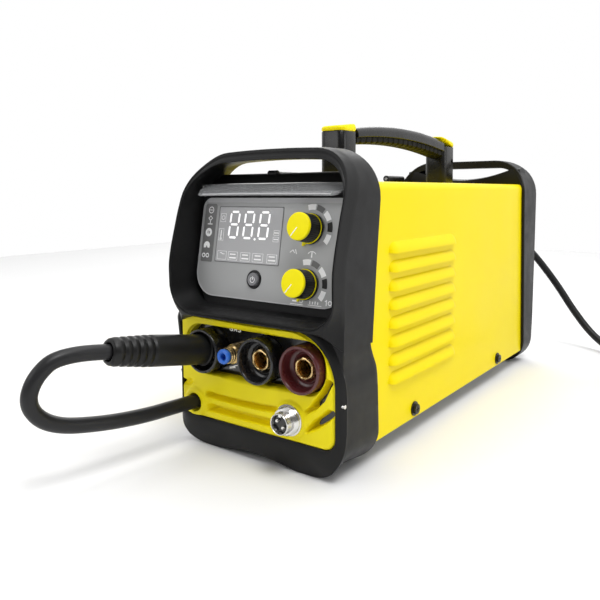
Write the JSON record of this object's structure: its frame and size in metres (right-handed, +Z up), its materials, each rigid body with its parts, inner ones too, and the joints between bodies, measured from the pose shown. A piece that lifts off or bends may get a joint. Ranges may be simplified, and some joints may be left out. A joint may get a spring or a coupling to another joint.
{
  "type": "tig welding machine",
  "caption": "Portable inverter welding machine with tilted control panel, front power sockets, gas outlet, louvred case, carry handle, side door and leads.",
  "frame": {"origin": "middle of the footprint on the floor, from the trigger socket's front to the rear bumper's rim", "axes": "+Z up, front of the machine towards -Y, +X to the right seen from the front"},
  "size_m": [0.3806, 0.6608, 0.2649],
  "materials": {
    "casing_yellow": "glossy powder coat",
    "moulding_black": "fine textured",
    "insert_yellow": "satin",
    "panel_grey": "printed film",
    "window_grey": "clear, dark behind",
    "clear_plastic": "clear acrylic",
    "plate_black": "gloss",
    "socket_black": "gloss",
    "socket_maroon": "gloss",
    "brass": "turned",
    "collar_blue": "gloss",
    "nickel": "nickel plated",
    "zinc_steel": "zinc plated",
    "screw_black": "black oxide",
    "knob_black": "semi gloss",
    "cap_yellow": "satin",
    "button_grey": "gloss",
    "rubber_black": "satin",
    "fan_black": "satin",
    "rocker_red": "gloss",
    "board_green": "solder mask",
    "aluminium": "extruded",
    "spool_black": "satin"
  },
  "bodies": {
    "machine": {"casing_cover": "casing_yellow", "base_tray": "zinc_steel", "casing_screws": "screw_black", "divider_wall": "zinc_steel", "front_bumper": "moulding_black", "bumper_screws": "nickel", "rear_bumper": "moulding_black", "control_fascia": "panel_grey", "display_window": "window_grey", "control_board": "board_green", "button_bezel": "button_grey", "glare_visor": "clear_plastic", "connector_insert": "insert_yellow", "connector_plate": "plate_black", "gas_fitting_body": "brass", "trigger_socket_shell": "nickel", "trigger_socket_insulator": "socket_black", "handle_front_post": "plate_black", "handle_rear_post": "plate_black", "handle_cap_front": "cap_yellow", "handle_cap_rear": "cap_yellow", "handle_grip": "moulding_black", "handle_underside": "rubber_black", "rear_panel": "screw_black", "gas_inlet": "brass", "fan_frame": "fan_black", "fan_grille": "nickel", "switch_housing": "fan_black", "mains_gland": "fan_black", "main_board": "board_green", "heatsink": "aluminium", "spool_spindle": "fan_black", "feed_unit": "zinc_steel", "door_hinges": "screw_black", "polarity_plug_body": "rubber_black", "polarity_plug_pin": "brass", "polarity_lead": "rubber_black", "mains_cord": "rubber_black", "mains_coil": "rubber_black", "mains_plug": "rubber_black", "potentiometer_upper": "fan_black", "potentiometer_lower": "fan_black", "socket_shell_left": "socket_black", "socket_insert_left": "brass", "socket_shell_middle": "socket_black", "socket_insert_middle": "brass", "socket_shell_right": "socket_maroon", "socket_insert_right": "brass"},
    "knob_upper_body": {"knob_upper": "knob_black", "knob_cap_upper": "cap_yellow"},
    "knob_lower_body": {"knob_lower": "knob_black", "knob_cap_lower": "cap_yellow"},
    "button_body": {"mode_button": "button_grey"},
    "rocker_body": {"switch_rocker": "rocker_red"},
    "fan_body": {"fan_rotor": "fan_black"},
    "collet_body": {"gas_fitting_collet": "collar_blue"},
    "door_body": {"side_door": "casing_yellow"},
    "latch_body": {"door_latch": "nickel"},
    "spool_body": {"wire_spool": "spool_black"},
    "pressure_arm_body": {"pressure_arm": "fan_black"}
  },
  "joints": [
    {"name": "knob_upper_turn", "type": "hinge", "parent": "machine", "child": "knob_upper_body", "pos_m": [0.0385, -0.18196, 0.17497], "axis": [0, 0.9848, -0.1736], "range_deg": [0, 300]},
    {"name": "knob_lower_turn", "type": "hinge", "parent": "machine", "child": "knob_lower_body", "pos_m": [0.0385, -0.18901, 0.13499], "axis": [0, 0.9848, -0.1736], "range_deg": [0, 300]},
    {"name": "mode_button_press", "type": "slide", "parent": "machine", "child": "button_body", "axis": [0, 0.9848, -0.1736], "range_m": [0, 0.0012], "stiffness_N_per_m": 300, "springref_m": -0.0008},
    {"name": "mains_rocker_tilt", "type": "hinge", "parent": "machine", "child": "rocker_body", "pos_m": [-0.038, 0.197, 0.172], "axis": [0, 0, 1], "range_deg": [-18, 0]},
    {"name": "fan_spin", "type": "hinge", "parent": "machine", "child": "fan_body", "pos_m": [0.014, 0.185, 0.074], "axis": [0, 1, 0], "continuous": true},
    {"name": "gas_collet_press", "type": "slide", "parent": "machine", "child": "collet_body", "axis": [0, 1, 0], "range_m": [0, 0.001], "stiffness_N_per_m": 500, "springref_m": -0.001},
    {"name": "side_door_hinge", "type": "hinge", "parent": "machine", "child": "door_body", "pos_m": [-0.075, 0.02, 0.218], "axis": [0, 1, 0], "range_deg": [0, 110]},
    {"name": "door_latch_turn", "type": "hinge", "parent": "door_body", "child": "latch_body", "pos_m": [-0.0765, 0.02, 0.048], "axis": [-1, 0, 0], "range_deg": [0, 90]},
    {"name": "spool_spin", "type": "hinge", "parent": "machine", "child": "spool_body", "pos_m": [-0.04, 0.052, 0.118], "axis": [1, 0, 0], "continuous": true},
    {"name": "pressure_arm_lift", "type": "hinge", "parent": "machine", "child": "pressure_arm_body", "pos_m": [-0.0285, -0.044, 0.136], "axis": [-1, 0, 0], "range_deg": [0, 70]}
  ]
}
